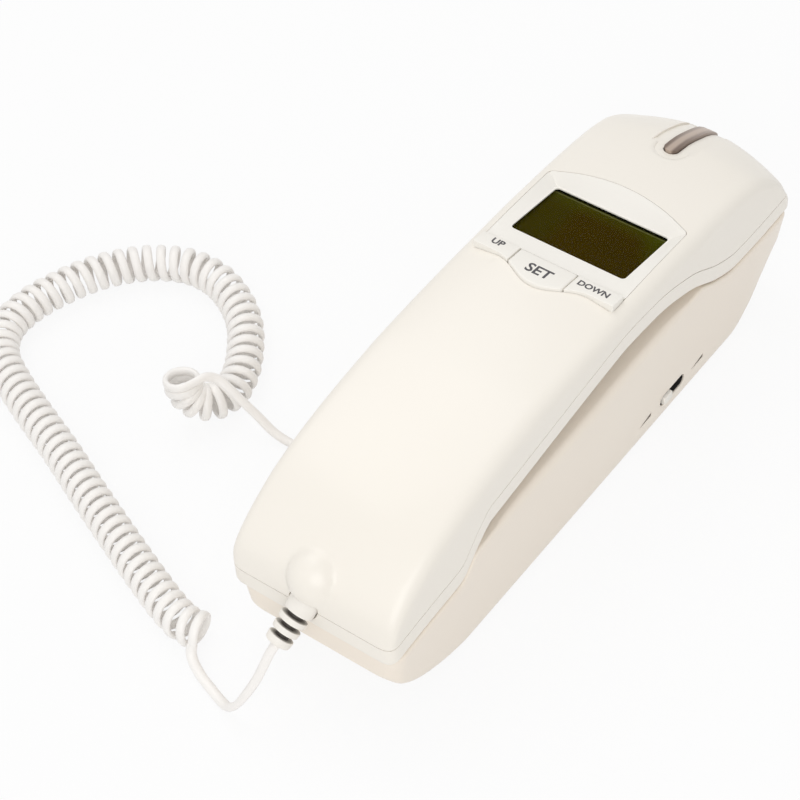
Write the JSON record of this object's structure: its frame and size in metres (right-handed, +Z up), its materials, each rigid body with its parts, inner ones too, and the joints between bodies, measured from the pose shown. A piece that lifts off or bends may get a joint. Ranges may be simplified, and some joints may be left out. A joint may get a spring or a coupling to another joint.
{
  "type": "slimline wall telephone",
  "caption": "Slimline corded wall telephone lying on its back: lift-off handset with a caller display, display keys, keypad under its grip, ring lamp, base cradle and curly cord.",
  "frame": {"origin": "on the table under the middle of the phone, its free cord left out", "axes": "+Y along the phone to its ear end, +X across it to the side with the ringer switch, +Z up from the table out of the handset's back"},
  "size_m": [0.1973, 0.2331, 0.0704],
  "materials": {
    "shell": "smooth warm white, moulded",
    "base": "smooth warm white, moulded",
    "plate": "fine texture",
    "foot": "soft grey",
    "steel": "zinc plated",
    "board": "green circuit board",
    "inner": "pale moulding",
    "dark": "dark moulding",
    "mat": "silicone mat",
    "cord": "flexible white vinyl",
    "boot": "flexible white vinyl",
    "plug": "clear moulded plug",
    "window": "clear pane",
    "lcd": "dark olive display",
    "lens": "translucent brown pink",
    "led": "red lamp",
    "key": "smooth, with dark printed legends"
  },
  "bodies": {
    "base": {"base_cradle": "base", "base_plate": "plate", "foot_1": "foot", "foot_2": "foot", "foot_3": "foot", "foot_4": "foot", "base_screw_1": "steel", "base_screw_2": "steel", "base_board": "board", "handset_jack": "inner", "line_jack": "inner", "ballast_bar": "steel", "sounder": "dark", "hook_switch": "dark", "ringer_switch": "dark", "cord_plug": "plug", "base_lead": "cord", "curly_cord": "cord", "handset_lead": "cord"},
    "hook": {"hook_plunger": "base"},
    "ringer": {"ringer_slider": "inner"},
    "handset": {"handset_back_shell": "shell", "handset_face_shell": "shell", "cord_boot": "boot", "ring_lamp_lens": "lens", "ring_lamp_led": "led", "handset_screw_1": "steel", "handset_screw_2": "steel", "receiver_capsule": "dark", "microphone_capsule": "steel", "display_bezel": "shell", "display_window": "window", "lcd_module": "lcd", "display_board": "board", "keypad_mat": "mat", "handset_board": "board"},
    "up_key_body": {"up_key": "key"},
    "set_key_body": {"set_key": "key"},
    "down_key_body": {"down_key": "key"},
    "key_1_body": {"key_1": "key"},
    "key_2_body": {"key_2": "key"},
    "key_3_body": {"key_3": "key"},
    "key_4_body": {"key_4": "key"},
    "key_5_body": {"key_5": "key"},
    "key_6_body": {"key_6": "key"},
    "key_7_body": {"key_7": "key"},
    "key_8_body": {"key_8": "key"},
    "key_9_body": {"key_9": "key"},
    "key_star_body": {"key_star": "key"},
    "key_0_body": {"key_0": "key"},
    "key_hash_body": {"key_hash": "key"},
    "flash_key_body": {"flash_key": "key"},
    "redial_key_body": {"redial_key": "key"}
  },
  "joints": [
    {"name": "handset_lift", "type": "slide", "parent": "base", "child": "handset", "axis": [0, 0, 1], "range_m": [0, 0.08]},
    {"name": "hook_rise", "type": "slide", "parent": "base", "child": "hook", "axis": [0, 0, 1], "range_m": [0, 0.004]},
    {"name": "ringer_slide", "type": "slide", "parent": "base", "child": "ringer", "axis": [0, 1, 0], "range_m": [0, 0.0054]},
    {"name": "up_press", "type": "slide", "parent": "handset", "child": "up_key_body", "axis": [0, -0.1495, -0.9888], "range_m": [0, 0.001], "stiffness_N_per_m": 300},
    {"name": "set_press", "type": "slide", "parent": "handset", "child": "set_key_body", "axis": [0, -0.1495, -0.9888], "range_m": [0, 0.001], "stiffness_N_per_m": 300},
    {"name": "down_press", "type": "slide", "parent": "handset", "child": "down_key_body", "axis": [0, -0.1495, -0.9888], "range_m": [0, 0.001], "stiffness_N_per_m": 300},
    {"name": "key_1_press", "type": "slide", "parent": "handset", "child": "key_1_body", "axis": [0, -0.1289, 0.9917], "range_m": [0, 0.0012], "stiffness_N_per_m": 300},
    {"name": "key_2_press", "type": "slide", "parent": "handset", "child": "key_2_body", "axis": [0, -0.1289, 0.9917], "range_m": [0, 0.0012], "stiffness_N_per_m": 300},
    {"name": "key_3_press", "type": "slide", "parent": "handset", "child": "key_3_body", "axis": [0, -0.1289, 0.9917], "range_m": [0, 0.0012], "stiffness_N_per_m": 300},
    {"name": "key_4_press", "type": "slide", "parent": "handset", "child": "key_4_body", "axis": [0, -0.1289, 0.9917], "range_m": [0, 0.0012], "stiffness_N_per_m": 300},
    {"name": "key_5_press", "type": "slide", "parent": "handset", "child": "key_5_body", "axis": [0, -0.1289, 0.9917], "range_m": [0, 0.0012], "stiffness_N_per_m": 300},
    {"name": "key_6_press", "type": "slide", "parent": "handset", "child": "key_6_body", "axis": [0, -0.1289, 0.9917], "range_m": [0, 0.0012], "stiffness_N_per_m": 300},
    {"name": "key_7_press", "type": "slide", "parent": "handset", "child": "key_7_body", "axis": [0, -0.1289, 0.9917], "range_m": [0, 0.0012], "stiffness_N_per_m": 300},
    {"name": "key_8_press", "type": "slide", "parent": "handset", "child": "key_8_body", "axis": [0, -0.1289, 0.9917], "range_m": [0, 0.0012], "stiffness_N_per_m": 300},
    {"name": "key_9_press", "type": "slide", "parent": "handset", "child": "key_9_body", "axis": [0, -0.1289, 0.9917], "range_m": [0, 0.0012], "stiffness_N_per_m": 300},
    {"name": "key_star_press", "type": "slide", "parent": "handset", "child": "key_star_body", "axis": [0, -0.1289, 0.9917], "range_m": [0, 0.0012], "stiffness_N_per_m": 300},
    {"name": "key_0_press", "type": "slide", "parent": "handset", "child": "key_0_body", "axis": [0, -0.1289, 0.9917], "range_m": [0, 0.0012], "stiffness_N_per_m": 300},
    {"name": "key_hash_press", "type": "slide", "parent": "handset", "child": "key_hash_body", "axis": [0, -0.1289, 0.9917], "range_m": [0, 0.0012], "stiffness_N_per_m": 300},
    {"name": "flash_key_press", "type": "slide", "parent": "handset", "child": "flash_key_body", "axis": [0, -0.1289, 0.9917], "range_m": [0, 0.0012], "stiffness_N_per_m": 300},
    {"name": "redial_key_press", "type": "slide", "parent": "handset", "child": "redial_key_body", "axis": [0, -0.1289, 0.9917], "range_m": [0, 0.0012], "stiffness_N_per_m": 300}
  ],
  "couplings": [
    {"joint": "hook_rise", "follows": "handset_lift", "ratio": 0.05}
  ]
}
